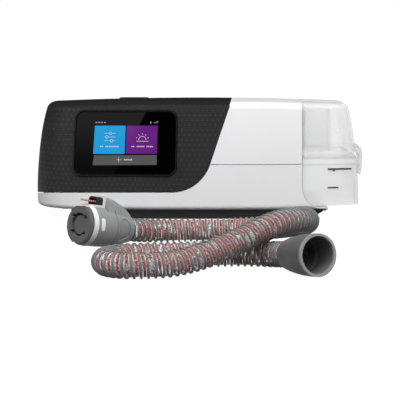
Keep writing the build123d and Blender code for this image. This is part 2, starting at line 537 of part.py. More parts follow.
tub_hinge_pin = cyl_x(84.1, 103.9, H_Y, H_Z, 1.2)
tub_lid = tub_lid - cyl_x(84, 104, H_Y, H_Z, 1.28)

# latch: a clip that swings out from its lugs on the lid
lt = [(124.2, 53.5), (126.4, 51.8), (127.8, 49.0), (128.25, 44.5), (128.2, 39.5), (127.8, 35.0), (127.0, 30.6), (126.2, 29.6),
      (125.3, 30.2), (126.0, 35.0), (126.4, 39.4), (121.9, 39.8), (121.9, 41.2), (126.3, 41.6), (125.9, 45.6), (124.6, 48.2),
      (123.4, 50.6), (123.3, 52.6)]
tub_latch = xz_prism([Line((a[0], -11, a[1]), (b[0], -11, b[1])) for a, b in zip(lt, lt[1:] + lt[:1])], -11, 11)
tub_latch = tub_latch + cyl_y(LX, -11, 11, LZ, 2.0)
tub_latch = tub_latch - cyl_y(LX, -12, 12, LZ, 0.98)

lid_air_duct = box(TUB_X0 + 1.85, 100.2, -46, -5, 50.6, 83.0) - box(TUB_X0 + 3.2, 98.8, -44.6, -6.4, 49, 81.6)
lid_air_duct = lid_air_duct + box(TUB_X0 + 1.85, 100.2, -46, -5, 50.6, 52.0)
lid_air_duct = lid_air_duct - cyl_z(90.5, -30, 49, 54, 7.0) - cyl_x(TUB_X0, 84, -PORT_Y, PORT_Z, PORT_R)
lid_air_duct = fillet(lid_air_duct.edges().filter_by(Axis.Z).sort_by(Axis.X)[-2:], 1.2)


# fill level marks, printed proud on the front wall of the tub
def front_pt(x, z, out=0.0):
    dy = 69.25 - half_depth(z)
    s = 10.0 / (tub_xr(z) - TUB_X0)
    return Vector(x, -(64.6 - dy) + (x - TUB_X0) * s - out, z)


def mark(x0, x1, z0, z1):
    p = front_pt((x0 + x1) / 2, (z0 + z1) / 2, 0.12)
    a = math.degrees(math.atan(10.0 / (tub_xr(z0) - TUB_X0)))
    lean = math.degrees(math.atan((half_depth(z0 - 4) - half_depth(z1 + 4)) / (z1 - z0 + 8)))
    return Location((p.X, p.Y, p.Z), (0, 0, a)) * Rot(-lean, 0, 0) * Box(x1 - x0, 0.24, z1 - z0)


fill_level_marks = mark(96.6, 115.4, 37.8, 39.1) + mark(96.6, 105.2, 23.9, 25.0) + mark(100.6, 102.2, 36.7, 37.85)
fill_level_marks = fill_level_marks - tub_out

# --------------------------------------------------------------------- hose
# cuff end K and mouth M first, so that the hose meets the cuff squarely
K = Vector(52.6, -307.4, 10.1)
M = Vector(67.6, -333.4, 13.45)
CA = (M - K).normalized()
CUFF_L = (M - K).length
# free run of the hose, connector to cuff
ROUTE = [(-49.0, -199.0, 10.8), (-38.9, -189.95, 8.5), (-22.0, -183.5, 8.1), (0.0, -181.5, 8.1), (24.0, -184.5, 8.6),
         (46.0, -194.5, 11.2), (61.5, -211.5, 15.4), (68.3, -234.0, 20.0), (66.5, -257.0, 24.6), (58.0, -277.0, 27.0),
         (43.0, -295.5, 26.4), (22.0, -310.5, 18.0), (1.0, -323.5, 10.9), (-15.5, -332.0, 8.1), (-29.5, -336.5, 8.1),
         (-44.6, -337.4, 8.1), (-55.3, -327.6, 8.1), (-55.3, -313.2, 8.1), (-44.6, -302.6, 8.1), (-28.5, -298.1, 8.1),
         (-6.5, -294.3, 8.1), (13.5, -290.8, 8.1), (27.0, -290.2, 8.1), (38.5, -292.2, 8.2), (44.9, -296.6, 8.6),
         tuple(K - CA * 5.8), tuple(K)]


def route_radii(pts):
    out = []
    for a, b, c in zip(pts, pts[1:], pts[2:]):
        a, b, c = Vector(*a), Vector(*b), Vector(*c)
        turn = math.radians((b - a).get_angle(c - b))
        out.append(0.45 * min((b - a).length, (c - b).length) / math.tan(turn / 2))
    return out


radii = route_radii(ROUTE)
print("hose radii", [round(r, 1) for r in radii])
hose_path = FilletPolyline(*ROUTE, radius=radii)
pl0 = Plane(origin=hose_path @ 0, z_dir=hose_path % 0)
hose_tube = sweep(pl0 * Circle(HOSE_R), path=hose_path) - sweep(pl0 * Circle(HOSE_RI), path=hose_path)
L_HOSE = hose_path.length
print("hose length", round(L_HOSE, 1), "volume ratio",
      round(hose_tube.volume / (math.pi * (HOSE_R ** 2 - HOSE_RI ** 2) * L_HOSE), 4))

# connector at the machine end of the hose
J = Vector(*ROUTE[0])
A = (J - Vector(*ROUTE[1])).normalized()
S = Vector(-A.Y, A.X, 0).normalized()
S = S if S.Y < 0 else -S
cp = Plane(origin=J, x_dir=S, z_dir=A)


def turned(points, plane):
    """Solid of revolution about the plane's normal, from (t, r) points."""
    pts = [(r, 0, t) for t, r in points]
    f = make_face(Polyline(*pts, close=True))
    return plane * revolve(f, Axis.Z)


def smooth_turned(outer_pts, t1, r_in, plane):
    """The same, with a smooth outside line."""
    sp = Spline(*[(r, 0, t) for t, r in outer_pts])
    t0 = outer_pts[0][0]
    f = make_face([sp, Line((outer_pts[-1][1], 0, t1), (r_in, 0, t1)), Line((r_in, 0, t1), (r_in, 0, t0)),
                   Line((r_in, 0, t0), (outer_pts[0][1], 0, t0))])
    return plane * revolve(f, Axis.Z)


T_RING0, T_RING1, T_FACE = 33.6, 36.9, 39.9
T_TAB = 23.8
connector_body = smooth_turned([(0, 8.9), (3, 9.7), (7, 10.9), (14, 12.5), (22, 13.2), (T_RING0, CONN_R)], T_RING0, 6.5, cp)


def shoulder_section(t, r, top):
    """Round section with a rounded crest, at the distance t along the connector."""
    pts = []
    for k in range(36):
        a = 2 * math.pi * k / 36
        off = abs((a + math.pi) % (2 * math.pi) - math.pi)
        q = r + (top - r) * math.exp(-(off / math.radians(29)) ** 2.6)
        pts.append((q * math.sin(a), q * math.cos(a), t))
    return Wire([Edge.make_spline([Vector(*q) for q in pts], periodic=True)])


shoulder = Solid.make_loft([shoulder_section(t, r, top) for t, r, top in
                            ((0.4, 8.75, 9.7), (2.0, 9.2, 11.7), (5.0, 10.1, 13.5), (8.2, 10.9, 15.1), (14.0, 12.2, 17.7),
                             (19.0, 12.7, 19.0), (T_TAB, 12.9, 19.5))])
connector_body = (connector_body + cp * shoulder) - turned([(-1, 0), (-1, 6.5), (40, 6.5), (40, 0)], cp)
connector_body = connector_body - (cp * Pos(0, 17.0, (T_TAB + T_RING0) / 2) * Box(9.9, 9.2, T_RING0 - T_TAB + 0.1))
# seam line round the body
connector_body = connector_body - turned([(17.3, 12.6), (17.3, 14.0), (17.8, 14.0), (17.8, 12.6)], cp)
grip = Plane(origin=(9.0, -1.2, 9.6), x_dir=(0, 1, 0), z_dir=(1, 0, 0))
grip_pr = extrude(cp * (grip * SlotOverall(15.0, 9.6)), amount=10, dir=tuple(S))
grip_rim = extrude(cp * (grip * SlotOverall(16.2, 10.8)), amount=10, dir=tuple(S)) - grip_pr
shave = [(2.0, 8.9), (3, 9.15), (7, 10.35), (14, 11.95), (17, 12.2)]
connector_body = connector_body - (grip_pr & turned(shave + [(17, 15), (2.0, 15)], cp))
shave_rim = [(t, r - 0.35) for t, r in shave]
connector_body = connector_body - (grip_rim & turned(shave_rim + [(17, 15), (2.0, 15)], cp))
ring = turned([(T_RING0, 12.2), (T_RING0, CONN_R + .15), (T_RING1, CONN_R - .1), (T_RING1, 12.2)], cp)
tab = (cp * Pos(0, 15.9, T_TAB + 1.0) * Box(9.6, 7.0, 1.9)) + (cp * Pos(0, 13.1, (T_TAB + T_RING0) / 2 + .9) * Box(9.6, 1.4, T_RING0 - T_TAB - 1.7))
tab = tab - turned([(20, 0), (20, 12.2), (40, 12.2), (40, 0)], cp)
connector_ring = ring + tab
core = turned([(30.2, 6.6), (30.2, 12.1), (T_RING1, 12.1), (T_RING1, 12.9), (T_FACE - .6, 12.9), (T_FACE, 12.3),
               (T_FACE, 7.7), (33.0, 7.7), (33.0, 6.6)], cp)
flats = (cp * Pos(0, 16.8, T_FACE - 1) * Box(40, 10, 4)) + (cp * Pos(0, -16.8, T_FACE - 1) * Box(40, 10, 4))
disc = turned([(33.4, 0), (33.4, 6.2), (T_FACE - 1.4, 6.2), (T_FACE - 1.4, 0)], cp)
for a in (40, 140, 220, 320):
    notch = cp * Rot(0, 0, a) * Pos(8.3, 0, T_FACE - 1.5) * Box(2.4, 2.6, 3.2)
    spoke = cp * Rot(0, 0, a) * Pos(7.4, 0, 34.6) * Box(3.4, 1.6, 2.2)
    core = core - notch
    disc = disc + (spoke & turned([(30, 0), (30, 8.2), (40, 8.2), (40, 0)], cp))
connector_face = (core - flats) + disc
connector_body = connector_body - turned([(30.0, 0), (30.0, 12.2), (34, 12.2), (34, 0)], cp)
H0 = T_TAB + 1.97
housing = cp * Pos(0, 16.5, H0 + 2.6) * Box(8.6, 5.3, 5.2)
housing = fillet([e for e in housing.edges().filter_by(lambda e: abs(Vector(e % 0.5).dot(A)) > .99)
                  if cp.to_local_coords(e.center()).Y > 17], 2.6)
slot_cut = cp * Pos(0, 16.3, H0 + 0.8 + 7) * Box(6.7, 3.0, 14)
contact_housing = housing - slot_cut
contact_blade = cp * Pos(0, 16.0, (H0 + 0.8 + 38.6) / 2) * Box(6.0, 1.0, 38.6 - H0 - 0.8)
PILL_ROLL = Rot(0, 0, 8)
pill_dir = cp.x_dir * math.cos(math.radians(8)) + cp.y_dir * math.sin(math.radians(8))
pill_at = Plane(origin=(10, 0, 30.0), x_dir=(0, 1, 0), z_dir=(1, 0, 0))
indicator_pill = extrude(cp * PILL_ROLL * (pill_at * SlotOverall(8.4, 3.0)), amount=8, dir=tuple(pill_dir))
indicator_pill = indicator_pill & turned([(25, 12.6), (25, 13.62), (T_RING0, 13.72), (T_RING0, 12.6)], cp)
pill_big = extrude(cp * PILL_ROLL * (pill_at * SlotOverall(8.5, 3.1)), amount=8, dir=tuple(pill_dir))
connector_body = connector_body - (pill_big & turned([(25, 12.6), (25, 15), (T_RING0, 15), (T_RING0, 12.6)], cp))

# cuff at the mask end
kp = Plane(origin=K, x_dir=(0, 0, 1), z_dir=CA)
cuff_out = smooth_turned([(0, 8.9), (6, 10.35), (12, 11.35), (18, 12.05), (24, 12.4), (CUFF_L, 12.5)], CUFF_L, 6.5, kp)
BORE_L = 15.0
hose_cuff = cuff_out - turned([(CUFF_L - BORE_L, 0), (CUFF_L - BORE_L, CUFF_BORE_R), (CUFF_L + 1, CUFF_BORE_R), (CUFF_L + 1, 0)], kp) \
    - turned([(8, 0), (8, 8.4), (CUFF_L - BORE_L + 1, 8.4), (CUFF_L - BORE_L + 1, 0)], kp)
print("cuff length", round(CUFF_L, 2), "axis", [round(c, 8) for c in (CA.X, CA.Y, CA.Z)],
      "bore mid", [round(c, 7) for c in (M - CA * BORE_L / 2)])
print("connector axis", [round(c, 8) for c in (A.X, A.Y, A.Z)], "side", [round(c, 4) for c in (S.X, S.Y, S.Z)],
      "face", [round(c, 4) for c in (J + A * T_FACE)])

PIECES = dict(
    base_foot=base_foot, rubber_feet=rubber_feet, lower_casing=lower_casing, upper_casing=upper_casing,
    fascia_cover=fascia_cover, rear_panel=rear_panel, display_bezel=display_bezel, screen_lens=screen_lens,
    lcd_panel=lcd_panel, display_carrier=display_carrier, ribbon_cable=ribbon_cable, main_board=main_board,
    board_components=board_components, board_screws=board_screws, wireless_module=wireless_module,
    button_switch=button_switch, start_button=start_button, blower_mounts=blower_mounts,
    blower_housing_bottom=blower_housing_bottom, blower_housing_top=blower_housing_top, motor_stator=motor_stator,
    motor_bearings=motor_bearings, rotor_shaft=rotor_shaft, impeller=impeller, muffler_foam=muffler_foam,
    inlet_housing=inlet_housing, air_filter=air_filter, filter_cover=filter_cover, filter_hinge_pin=filter_hinge_pin,
    outlet_duct=outlet_duct, return_duct=return_duct, flow_sensor=flow_sensor, air_outlet_port=air_outlet_port,
    hose_power_socket=hose_power_socket, power_socket=power_socket, power_pins=power_pins,
    humidifier_bay=humidifier_bay, heater_plate=heater_plate, dock_port_seals=dock_port_seals, sd_socket=sd_socket,
    sd_card=sd_card, sd_cover=sd_cover, casing_screws=casing_screws, tub_base=tub_base,
    tub_heat_plate=tub_heat_plate, tub_seal=tub_seal, tub_hinge_pin=tub_hinge_pin, tub_lid=tub_lid,
    tub_latch=tub_latch, lid_air_duct=lid_air_duct, fill_level_marks=fill_level_marks, hose_tube=hose_tube,
    hose_cuff=hose_cuff, connector_body=connector_body, connector_ring=connector_ring, connector_face=connector_face,
    contact_housing=contact_housing, contact_blade=contact_blade, indicator_pill=indicator_pill)

for name, piece in PIECES.items():
    if isinstance(piece, (list, ShapeList)):
        piece = Compound(children=list(piece))
    export_step(piece, "parts/" + name + ".step")
print(len(PIECES), "pieces")
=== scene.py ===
import bpy
import bmesh
import json
import math
import numpy as np
from mathutils import Matrix, Vector

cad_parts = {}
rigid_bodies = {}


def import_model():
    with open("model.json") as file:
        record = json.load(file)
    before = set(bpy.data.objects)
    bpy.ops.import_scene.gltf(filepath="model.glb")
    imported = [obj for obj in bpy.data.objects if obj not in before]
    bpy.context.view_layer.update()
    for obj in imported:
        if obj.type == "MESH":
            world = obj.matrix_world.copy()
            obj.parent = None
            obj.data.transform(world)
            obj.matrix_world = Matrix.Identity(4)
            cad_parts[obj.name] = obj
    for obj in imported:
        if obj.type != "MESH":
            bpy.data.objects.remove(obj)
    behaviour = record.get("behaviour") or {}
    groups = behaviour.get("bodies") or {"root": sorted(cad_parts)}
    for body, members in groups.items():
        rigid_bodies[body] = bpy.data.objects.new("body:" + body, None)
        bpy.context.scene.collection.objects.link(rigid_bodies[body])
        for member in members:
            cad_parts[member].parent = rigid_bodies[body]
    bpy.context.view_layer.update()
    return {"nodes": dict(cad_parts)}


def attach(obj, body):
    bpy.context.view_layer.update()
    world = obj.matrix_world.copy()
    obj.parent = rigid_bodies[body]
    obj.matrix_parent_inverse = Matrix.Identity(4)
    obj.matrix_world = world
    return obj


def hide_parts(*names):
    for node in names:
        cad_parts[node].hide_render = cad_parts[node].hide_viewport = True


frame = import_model()
MM = 0.001
scene = bpy.context.scene


# --------------------------------------------------------------------------
# camera
# --------------------------------------------------------------------------
cam_data = bpy.data.cameras.new("camera")
cam_data.sensor_width = 36.0
cam_data.lens = 130.1
cam = bpy.data.objects.new("camera", cam_data)
scene.collection.objects.link(cam)
cam.location = (0.0, -1.150, 0.135)
cam.rotation_euler = (math.radians(90.0 - 6.28), 0.0, 0.0)
cam_data.clip_start, cam_data.clip_end = 0.01, 60.0
scene.camera = cam
scene.view_settings.view_transform = "Standard"
scene.cycles.transparent_max_bounces = 40


# --------------------------------------------------------------------------
# node helpers
# --------------------------------------------------------------------------
class Mat:
    """A small builder for node materials."""

    def __init__(self, name):
        self.m = bpy.data.materials.new(name)
        self.m.use_nodes = True
        self.nt = self.m.node_tree
        self.b = self.nt.nodes["Principled BSDF"]
        self.tc = None

    def node(self, kind, **props):
        n = self.nt.nodes.new(kind)
        for k, v in props.items():
            setattr(n, k, v)
        return n

    def link(self, a, b):
        self.nt.links.new(a, b)
        return b

    def coords(self):
        if self.tc is None:
            self.tc = self.node("ShaderNodeTexCoord")
        return self.tc.outputs["Object"]

    def set(self, **kw):
        for k, v in kw.items():
            self.b.inputs[k.replace("_", " ")].default_value = v
        return self

    def math(self, op, a, b=None, c=None, clamp=False):
        n = self.node("ShaderNodeMath", operation=op, use_clamp=clamp)
        for i, v in enumerate((a, b, c)):
            if v is None:
                continue
            if isinstance(v, (int, float)):
                n.inputs[i].default_value = v
            else:
                self.link(v, n.inputs[i])
        return n.outputs[0]

    def noise(self, scale, detail=2.0, rough=0.5, vec=None, stretch=None):
        v = vec or self.coords()
        if stretch:
            mp = self.node("ShaderNodeMapping")
            mp.inputs["Scale"].default_value = stretch
            self.link(v, mp.inputs["Vector"])
            v = mp.outputs[0]
        n = self.node("ShaderNodeTexNoise")
        n.inputs["Scale"].default_value = scale
        n.inputs["Detail"].default_value = detail
        n.inputs["Roughness"].default_value = rough
        self.link(v, n.inputs["Vector"])
        return n.outputs["Fac"]

    def ramp(self, fac, stops):
        r = self.node("ShaderNodeValToRGB")
        els = r.color_ramp.elements
        while len(els) < len(stops):
            els.new(0.5)
        for e, (p, c) in zip(els, stops):
            e.position = p
            e.color = (c[0], c[1], c[2], 1.0) if not isinstance(c, (int, float)) else (c, c, c, 1.0)
        self.link(fac, r.inputs[0])
        return r.outputs[0]

    def mix(self, fac, a, b):
        n = self.node("ShaderNodeMix", data_type="RGBA")
        if isinstance(fac, (int, float)):
            n.inputs[0].default_value = fac
        else:
            self.link(fac, n.inputs[0])
        for i, v in ((6, a), (7, b)):
            if isinstance(v, (tuple, list)):
                n.inputs[i].default_value = (v[0], v[1], v[2], 1.0)
            else:
                self.link(v, n.inputs[i])
        return n.outputs[2]

    def color(self, sock):
        self.link(sock, self.b.inputs["Base Color"])
        return self

    def rough(self, sock):
        self.link(sock, self.b.inputs["Roughness"])
        return self

    def bump(self, height, strength=0.3, dist=0.0001, normal=None):
        n = self.node("ShaderNodeBump")
        n.inputs["Strength"].default_value = strength
        n.inputs["Distance"].default_value = dist
        self.link(height, n.inputs["Height"])
        if normal is not None:
            self.link(normal, n.inputs["Normal"])
        return n.outputs[0]

    def normal(self, sock):
        self.link(sock, self.b.inputs["Normal"])
        return self


def plastic(name, col, rough=0.4, var=0.04, grain=2600.0, depth=0.00002, strength=0.25, spec=0.5, rvar=0.06):
    """Moulded plastic: slight colour drift, satin grain and uneven gloss."""
    m = Mat(name)
    m.set(Specular_IOR_Level=spec)
    lo = tuple(c * (1 - var) for c in col)
    hi = tuple(min(1.0, c * (1 + var)) for c in col)
    m.color(m.ramp(m.noise(35.0, 3.0), [(0.3, lo), (0.7, hi)]))
    m.rough(m.ramp(m.noise(90.0, 4.0), [(0.3, max(0.02, rough - rvar)), (0.7, rough + rvar)]))
    m.normal(m.bump(m.noise(grain, 2.0), strength, depth))
    return m


MAT = {}


def give(mat, *nodes):
    for n in nodes:
        o = bpy.data.objects[frame["nodes"][n]] if isinstance(frame["nodes"], dict) and isinstance(frame["nodes"][n], str) \
            else bpy.data.objects[n]
        o.data.materials.clear()
        o.data.materials.append(mat.m if isinstance(mat, Mat) else mat)


# --------------------------------------------------------------------------
# materials
# --------------------------------------------------------------------------
white = plastic("white_plastic", (0.80, 0.80, 0.81), 0.36, 0.012, 3000.0, 0.000012, 0.2)
grey_mould = plastic("grey_moulding", (0.30, 0.305, 0.31), 0.5, 0.05)
back_grey = plastic("back_panel_grey", (0.36, 0.365, 0.37), 0.45, 0.04, 1500.0, 0.00004, 0.35)
dark_mould = plastic("dark_moulding", (0.028, 0.028, 0.030), 0.42, 0.1)
black_foot = plastic("foot_black", (0.012, 0.012, 0.013), 0.5, 0.1)
bezel_black = plastic("bezel_black", (0.010, 0.010, 0.011), 0.22, 0.1, 2600.0, 0.00001, 0.1)
conn_grey = plastic("connector_grey", (0.270, 0.272, 0.275), 0.38, 0.03, 2200.0, 0.00002, 0.25)
conn_dark = plastic("connector_dark", (0.112, 0.113, 0.115), 0.42, 0.05, 2200.0, 0.00002, 0.25)
conn_black = plastic("contact_housing_black", (0.022, 0.022, 0.023), 0.35, 0.1, 2200.0, 0.00002, 0.2)
conn_white = plastic("trim_white", (0.78, 0.78, 0.78), 0.3, 0.01)


def cuff_material():
    """Soft rubber, with a painted highlight along the lip and painted light inside the mouth where self-shadow falls.
    """
    m = Mat("cuff_rubber")
    m.set(Specular_IOR_Level=0.5, Sheen_Weight=0.15)
    mouth = (0.0676, -0.3334, 0.01345)
    axis = (0.49664, -0.86084, 0.11092)
    rel = m.node("ShaderNodeVectorMath", operation="SUBTRACT")
    m.link(m.coords(), rel.inputs[0])
    rel.inputs[1].default_value = mouth
    dot = m.node("ShaderNodeVectorMath", operation="DOT_PRODUCT")
    m.link(rel.outputs[0], dot.inputs[0])
    dot.inputs[1].default_value = axis
    t = dot.outputs["Value"]
    length = m.node("ShaderNodeVectorMath", operation="LENGTH")
    m.link(rel.outputs[0], length.inputs[0])
    r = m.math("SQRT", m.math("MAXIMUM", m.math("SUBTRACT", m.math("MULTIPLY", length.outputs["Value"], length.outputs["Value"]),
                                                m.math("MULTIPLY", t, t)), 0.0))
    # painted highlight: a paler band round the lip of the mouth
    lip_painted_highlight = m.ramp(m.math("MULTIPLY_ADD", t, 250.0, 1.0), [(0.40, 0.0), (0.75, 1.0)])
    # painted light: paler colour inside the bore, where self-shadow falls
    mouth_painted_light = m.math("MULTIPLY", m.ramp(m.math("MULTIPLY", r, 50.0), [(0.560, 1.0), (0.572, 0.0)]),
                   m.ramp(m.math("MULTIPLY_ADD", t, 50.0, 1.0), [(0.24, 0.0), (0.27, 1.0)]))
    body = m.ramp(m.noise(35.0, 3.0), [(0.3, (0.070, 0.070, 0.072)), (0.7, (0.082, 0.082, 0.084))])
    col = m.mix(mouth_painted_light, body, (0.115, 0.115, 0.117))
    m.color(m.mix(lip_painted_highlight, col, (0.290, 0.290, 0.293)))
    m.rough(m.ramp(m.noise(90.0, 4.0), [(0.3, 0.42), (0.7, 0.56)]))
    m.normal(m.bump(m.noise(1800.0, 2.0), 0.4, 0.00004))
    return m


cuff_mat = cuff_material()
rubber = plastic("rubber_black", (0.018, 0.018, 0.019), 0.7, 0.15, 1400.0, 0.00006, 0.5)
seal_mat = plastic("seal_grey", (0.42, 0.43, 0.44), 0.35, 0.04)


def dotted_cover():
    """Near-black cover with rows of fine dimples, laid out flat on each side of the part."""
    m = Mat("dotted_cover")
    sep = m.node("ShaderNodeSeparateXYZ")
    m.link(m.coords(), sep.inputs[0])
    geo = m.node("ShaderNodeNewGeometry")
    nsep = m.node("ShaderNodeSeparateXYZ")
    m.link(geo.outputs["Normal"], nsep.inputs[0])
    x, y, z = sep.outputs
    nx, ny, nz = (m.math("ABSOLUTE", o) for o in nsep.outputs)

    def dots(a, b, pa, pb, radius):
        row = m.math("FLOOR", m.math("DIVIDE", b, pb))
        odd = m.math("MULTIPLY", m.math("FRACT", m.math("MULTIPLY", row, 0.5)), 1.0)
        fa = m.math("SUBTRACT", m.math("FRACT", m.math("ADD", m.math("DIVIDE", a, pa), odd)), 0.5)
        fb = m.math("SUBTRACT", m.math("FRACT", m.math("DIVIDE", b, pb)), 0.5)
        da = m.math("MULTIPLY", fa, pa)
        db = m.math("MULTIPLY", fb, pb)
        d = m.math("SQRT", m.math("ADD", m.math("MULTIPLY", da, da), m.math("MULTIPLY", db, db)))
        n = m.node("ShaderNodeMapRange", interpolation_type="SMOOTHSTEP")
        m.link(d, n.inputs["Value"])
        n.inputs["From Min"].default_value = radius * 0.55
        n.inputs["From Max"].default_value = radius * 1.15
        n.inputs["To Min"].default_value = 1.0
        n.inputs["To Max"].default_value = 0.0
        return n.outputs["Result"]

    pa, pb, r = 0.00390, 0.00370, 0.00058
    fa, fb, fr = 0.00130, 0.00123, 0.00036

    def both(a, b):
        return m.math("MAXIMUM", dots(a, b, pa, pb, r), m.math("MULTIPLY", dots(a, b, fa, fb, fr), 0.45))

    front = both(x, z)
    side = both(y, z)
    top = both(x, y)
    is_top = m.math("GREATER_THAN", nz, 0.72)
    is_side = m.math("GREATER_THAN", nx, ny)
    flat = m.math("ADD", m.math("MULTIPLY", side, is_side), m.math("MULTIPLY", front, m.math("SUBTRACT", 1.0, is_side)))
    dot = m.math("ADD", m.math("MULTIPLY", top, is_top), m.math("MULTIPLY", flat, m.math("SUBTRACT", 1.0, is_top)))
    base = m.ramp(m.noise(28.0, 3.0), [(0.3, (0.0160, 0.0160, 0.0164)), (0.7, (0.0190, 0.0190, 0.0195))])
    raised = m.mix(dot, base, (0.048, 0.048, 0.050))
    # painted shade: faces turning upward are darkened to near-black
    top_painted_shade = m.ramp(nz, [(0.45, 0.0), (0.85, 1.0)])
    m.color(m.mix(top_painted_shade, raised, (0.0050, 0.0050, 0.0052)))
    m.rough(m.ramp(dot, [(0.0, 0.50), (1.0, 0.30)]))
    m.set(Specular_IOR_Level=0.42)
    grain = m.bump(m.noise(3000.0, 2.0), 0.25, 0.00002)
    m.normal(m.bump(m.math("SUBTRACT", 1.0, dot), 0.55, 0.00012, grain))
    return m


cover_mat = dotted_cover()


def clear_plastic(name, tone, alpha, rough=0.22, spec=0.35, painted_light_bands=None):
    """Thin clear moulding with a milky look: uneven tone, uneven gloss and a faint ripple.
    Each entry is a painted shade line or painted highlight band round the rim, as (height in mm, tone)."""
    m = Mat(name)
    m.set(Specular_IOR_Level=spec)
    v = m.noise(26.0, 3.0)
    col = m.ramp(v, [(0.3, tuple(c * 0.985 for c in tone)), (0.7, tone)])
    if painted_light_bands:
        # painted shade and painted highlight: the tone is multiplied by height bands round the rim
        sep = m.node("ShaderNodeSeparateXYZ")
        m.link(m.coords(), sep.inputs[0])
        level = m.math("MULTIPLY_ADD", sep.outputs[2], 1000.0 / 12.0, -40.0 / 12.0, clamp=True)
        n = m.node("ShaderNodeMix", data_type="RGBA", blend_type="MULTIPLY")
        n.inputs[0].default_value = 1.0
        m.link(col, n.inputs[6])
        m.link(m.ramp(level, [((z - 40.0) / 12.0, f) for z, f in painted_light_bands]), n.inputs[7])
        col = n.outputs[2]
    m.color(col)
    m.rough(m.ramp(m.noise(70.0, 3.0), [(0.3, rough - 0.05), (0.7, rough + 0.06)]))
    see = m.ramp(m.noise(18.0, 2.0), [(0.25, alpha * 0.92), (0.75, min(1.0, alpha * 1.08))])
    rim = m.node("ShaderNodeLayerWeight")
    rim.inputs["Blend"].default_value = 0.5
    see = m.math("MULTIPLY", see, m.math("MULTIPLY_ADD", m.math("POWER", rim.outputs["Facing"], 22.0), 2.2, 1.0), clamp=True)
    ray = m.node("ShaderNodeLightPath")
    m.link(m.math("MULTIPLY", see, m.math("MULTIPLY_ADD", ray.outputs["Is Shadow Ray"], -0.78, 1.0)), m.b.inputs["Alpha"])
    m.normal(m.bump(m.noise(160.0, 2.0), 0.10, 0.0002))
    return m


# painted shadow line below the tub's rim flange, and a painted highlight on the flange
tub_clear = clear_plastic("tub_clear", (0.97, 0.972, 0.975), 0.42, painted_light_bands=[
    (41.3, 0.93), (41.6, 0.78), (42.1, 0.78), (42.4, 0.93), (43.4, 0.93), (43.7, 1.0), (46.0, 1.0)])
# painted shade over the seal gap, and painted highlight lines on the lid flange
lid_clear = clear_plastic("lid_clear", (0.93, 0.932, 0.935), 0.28, painted_light_bands=[
    (47.6, 0.80), (48.9, 0.80), (49.3, 0.90), (50.0, 0.90), (50.3, 1.0), (50.8, 1.0), (51.1, 0.90)])
duct_clear = clear_plastic("duct_frosted", (0.66, 0.662, 0.665), 0.24, 0.4)
latch_clear = clear_plastic("latch_clear", (0.74, 0.742, 0.745), 0.40, 0.3)
seal_clear = clear_plastic("seal_clear", (0.66, 0.662, 0.665), 0.50, 0.35)

lens_mat = Mat("lens_black")
lens_mat.set(Base_Color=(0.0008, 0.0008, 0.0009, 1.0), Specular_IOR_Level=0.5)
lens_mat.rough(lens_mat.ramp(lens_mat.noise(9.0, 3.0), [(0.3, 0.012), (0.7, 0.022)]))
lens_mat.normal(lens_mat.bump(lens_mat.noise(14.0, 1.0), 0.01, 0.0001))


def metal(name, col, rough=0.3, stretch=(1, 1, 60)):
    m = Mat(name)
    m.set(Metallic=1.0)
    n = m.noise(220.0, 4.0, stretch=stretch)
    m.color(m.ramp(n, [(0.3, tuple(c * 0.92 for c in col)), (0.7, col)]))
    m.rough(m.ramp(n, [(0.3, rough - 0.08), (0.7, rough + 0.1)]))
    m.normal(m.bump(n, 0.15, 0.00003))
    return m


steel = metal("steel", (0.62, 0.62, 0.64), 0.3)
plate = metal("heater_plate_metal", (0.74, 0.74, 0.76), 0.34, (60, 1, 1))
gold = metal("contact_gold", (0.80, 0.56, 0.24), 0.28)
copper = metal("contact_copper", (0.75, 0.26, 0.16), 0.3)


def board_mat():
    m = Mat("board_green")
    v = m.node("ShaderNodeTexBrick")
    v.inputs["Scale"].default_value = 260.0
    v.inputs["Mortar Size"].default_value = 0.03
    v.inputs["Color1"].default_value = (0.012, 0.085, 0.035, 1)
    v.inputs["Color2"].default_value = (0.010, 0.070, 0.030, 1)
    v.inputs["Mortar"].default_value = (0.03, 0.16, 0.07, 1)
    m.link(m.coords(), v.inputs["Vector"])
    m.color(v.outputs["Color"])
    m.rough(m.ramp(m.noise(80.0), [(0.3, 0.25), (0.7, 0.4)]))
    m.normal(m.bump(v.outputs["Fac"], 0.3, 0.00005))
    return m


pcb = board_mat()
foam = plastic("foam_dark", (0.030, 0.030, 0.032), 0.95, 0.3, 700.0, 0.0006, 1.0)
fleece = plastic("filter_fleece", (0.80, 0.80, 0.77), 0.95, 0.06, 900.0, 0.0004, 0.9)
ink = plastic("mark_ink", (0.050, 0.050, 0.051), 0.5, 0.05)

# --------------------------------------------------------------------------
# finish of every CAD piece that stays
# --------------------------------------------------------------------------
give(white, "upper_casing", "lower_casing")
give(cover_mat, "fascia_cover", "sd_cover")
give(plastic("button_dark", (0.022, 0.022, 0.024), 0.34, 0.08), "start_button")
give(back_grey, "rear_panel", "filter_cover")
give(black_foot, "base_foot")
give(rubber, "rubber_feet")
give(bezel_black, "display_bezel")
give(lens_mat, "screen_lens")
give(dark_mould, "display_carrier", "air_outlet_port", "power_socket", "hose_power_socket", "sd_socket",
     "inlet_housing")
give(plastic("bay_liner", (0.40, 0.405, 0.41), 0.4, 0.04), "humidifier_bay")
give(plastic("lcd_back", (0.03, 0.05, 0.08), 0.3, 0.1), "lcd_panel")
give(pcb, "main_board", "button_switch")
give(plastic("component_black", (0.02, 0.02, 0.022), 0.35, 0.2), "board_components", "sd_card", "flow_sensor")
give(plastic("ribbon_tan", (0.30, 0.16, 0.06), 0.35, 0.1), "ribbon_cable")
give(steel, "board_screws", "casing_screws", "wireless_module", "motor_bearings", "rotor_shaft", "filter_hinge_pin",
     "tub_hinge_pin", "motor_stator")
give(gold, "power_pins")
give(grey_mould, "blower_housing_bottom", "blower_housing_top", "impeller", "outlet_duct", "return_duct")
